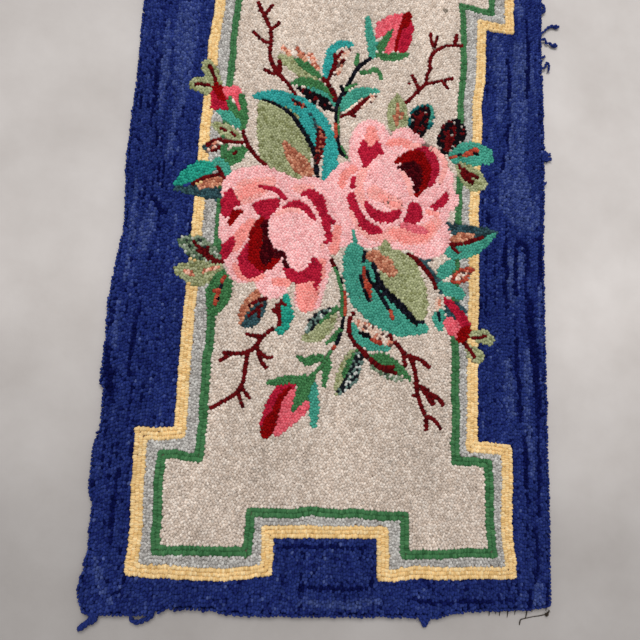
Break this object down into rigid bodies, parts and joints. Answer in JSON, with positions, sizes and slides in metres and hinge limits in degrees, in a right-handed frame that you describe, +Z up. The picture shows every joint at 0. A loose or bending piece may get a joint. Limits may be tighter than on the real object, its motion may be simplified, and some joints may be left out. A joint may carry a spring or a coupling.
{
  "type": "hooked rug",
  "caption": "Flat oblong hooked rug of wool loops on a burlap foundation, with a stepped border round a floral field; lies on a floor",
  "frame": {"origin": "Middle of the rug's nominal outline on its underside, where it meets the floor", "axes": "X is the rug's width, Y its length, Z up through its thickness from the floor"},
  "size_m": [0.6472, 1.1121, 0.0085],
  "materials": {
    "burlap": "coarse plain weave with flat yarn stitches",
    "wool_pile": "matt looped wool pile",
    "navy_yarn_right": "matt twisted wool yarn",
    "navy_yarn_bottom": "matt twisted wool yarn",
    "foundation_thread": "frayed thread"
  },
  "bodies": {
    "root": {"foundation": "burlap", "pile": "wool_pile", "yarn_ends_right": "navy_yarn_right", "yarn_ends_bottom": "navy_yarn_bottom", "thread_ends": "foundation_thread"}
  },
  "joints": []
}
